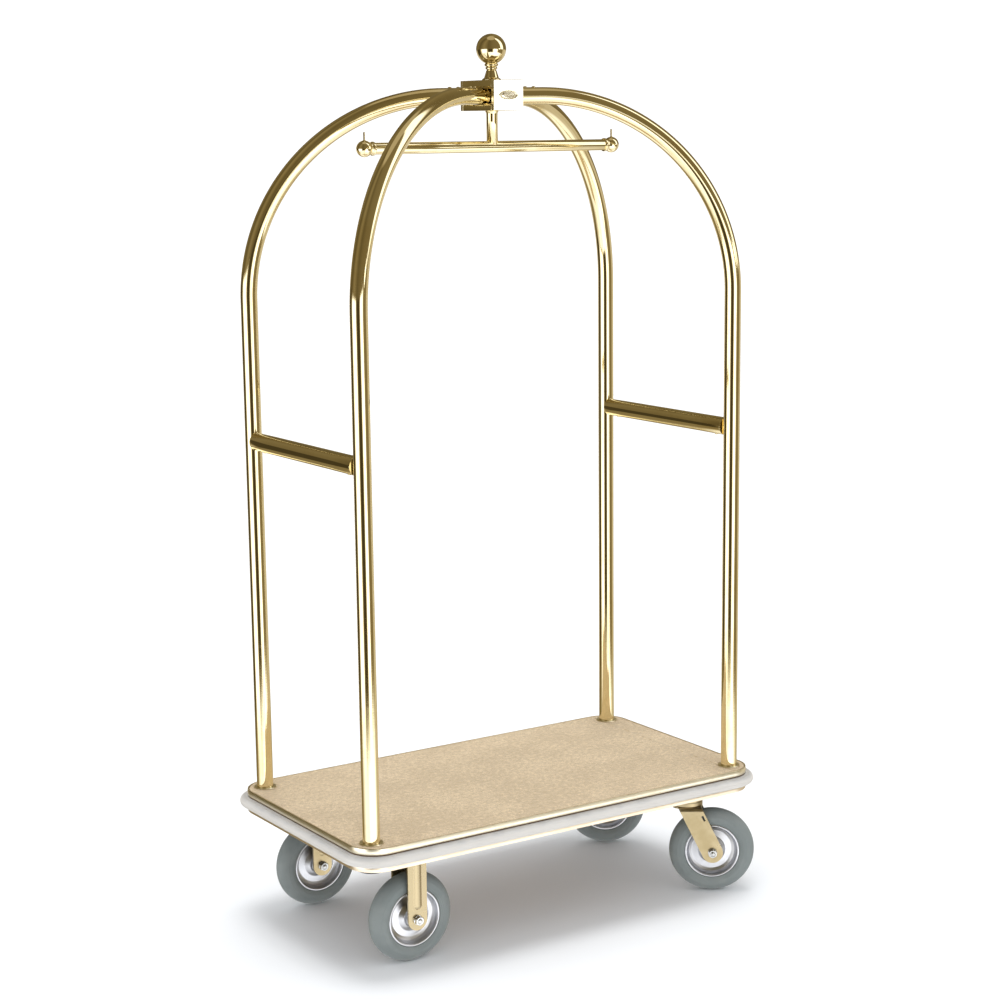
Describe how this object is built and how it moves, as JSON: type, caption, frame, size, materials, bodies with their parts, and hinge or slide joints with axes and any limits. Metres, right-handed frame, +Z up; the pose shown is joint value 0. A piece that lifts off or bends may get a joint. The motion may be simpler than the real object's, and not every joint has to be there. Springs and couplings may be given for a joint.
{
  "type": "hotel luggage cart",
  "caption": "Birdcage luggage cart: carpeted deck on casters, arched polished tubes meeting in a hub under a ball finial, with garment bar and end rails.",
  "frame": {"origin": "floor level, under the middle of the deck", "axes": "+X along the long side, towards the swivel casters; -Y to the front; +Z up"},
  "size_m": [1.118, 0.6337, 2.0122],
  "materials": {
    "polished_brass": "polished",
    "plated_fork": "satin",
    "zinc_steel": "satin",
    "bright_rim": "polished",
    "bearing_steel": "satin",
    "dark_socket": "satin",
    "grey_tyre": "matt",
    "bumper_rubber": "satin",
    "carpet_pile": "short cut pile",
    "board_wood": "raw plywood",
    "painted_frame": "painted"
  },
  "bodies": {
    "cart": {"deck_frame": "painted_frame", "deck_board": "board_wood", "carpet": "carpet_pile", "trim_top": "polished_brass", "bumper": "bumper_rubber", "trim_bottom": "polished_brass", "upright_front_left": "polished_brass", "upright_front_right": "polished_brass", "upright_back_left": "polished_brass", "upright_back_right": "polished_brass", "upright_escutcheons": "polished_brass", "upright_sockets": "dark_socket", "upright_plugs": "zinc_steel", "socket_bolts": "zinc_steel", "hub_spider": "zinc_steel", "hub_top_plate": "polished_brass", "hub_bottom_plate": "polished_brass", "hub_front_plate": "polished_brass", "hub_back_plate": "polished_brass", "hub_badges": "polished_brass", "arch_screws": "polished_brass", "finial_base": "polished_brass", "finial_ball": "polished_brass", "hub_stud": "zinc_steel", "drop_tube": "polished_brass", "garment_bar": "polished_brass", "bar_end_balls": "polished_brass", "bar_stop_pins": "polished_brass", "side_rail_left": "polished_brass", "side_rail_right": "polished_brass", "rail_stubs": "polished_brass", "rail_screws": "polished_brass", "rigid_fork_front": "plated_fork", "rigid_fork_back": "plated_fork", "swivel_plate_front": "plated_fork", "swivel_plate_back": "plated_fork", "plate_bolts": "zinc_steel", "kingpins": "zinc_steel", "rigid_axles": "zinc_steel", "rigid_sleeves": "zinc_steel"},
    "swivel_front": {"swivel_fork_front": "plated_fork", "swivel_axle_front": "zinc_steel", "swivel_sleeve_front": "zinc_steel", "swivel_balls_front": "zinc_steel"},
    "swivel_back": {"swivel_fork_back": "plated_fork", "swivel_axle_back": "zinc_steel", "swivel_sleeve_back": "zinc_steel", "swivel_balls_back": "zinc_steel"},
    "wheel_front_left": {"tyre_front_left": "grey_tyre", "rim_front_left": "bright_rim", "bearings_front_left": "bearing_steel"},
    "wheel_front_right": {"tyre_front_right": "grey_tyre", "rim_front_right": "bright_rim", "bearings_front_right": "bearing_steel"},
    "wheel_back_left": {"tyre_back_left": "grey_tyre", "rim_back_left": "bright_rim", "bearings_back_left": "bearing_steel"},
    "wheel_back_right": {"tyre_back_right": "grey_tyre", "rim_back_right": "bright_rim", "bearings_back_right": "bearing_steel"}
  },
  "joints": [
    {"name": "swivel_front_turn", "type": "hinge", "parent": "cart", "child": "swivel_front", "pos_m": [0.392, -0.216, 0.218], "axis": [0, 0, 1], "continuous": true},
    {"name": "swivel_back_turn", "type": "hinge", "parent": "cart", "child": "swivel_back", "pos_m": [0.392, 0.216, 0.218], "axis": [0, 0, 1], "continuous": true},
    {"name": "wheel_front_left_spin", "type": "hinge", "parent": "cart", "child": "wheel_front_left", "pos_m": [-0.384, -0.216, 0.1016], "axis": [0, -1, 0], "continuous": true},
    {"name": "wheel_front_right_spin", "type": "hinge", "parent": "swivel_front", "child": "wheel_front_right", "pos_m": [0.44133, -0.25016, 0.1016], "axis": [-0.5693, -0.8221, 0], "continuous": true},
    {"name": "wheel_back_left_spin", "type": "hinge", "parent": "cart", "child": "wheel_back_left", "pos_m": [-0.384, 0.216, 0.1016], "axis": [0, -1, 0], "continuous": true},
    {"name": "wheel_back_right_spin", "type": "hinge", "parent": "swivel_back", "child": "wheel_back_right", "pos_m": [0.44133, 0.18184, 0.1016], "axis": [-0.5693, -0.8221, 0], "continuous": true}
  ]
}
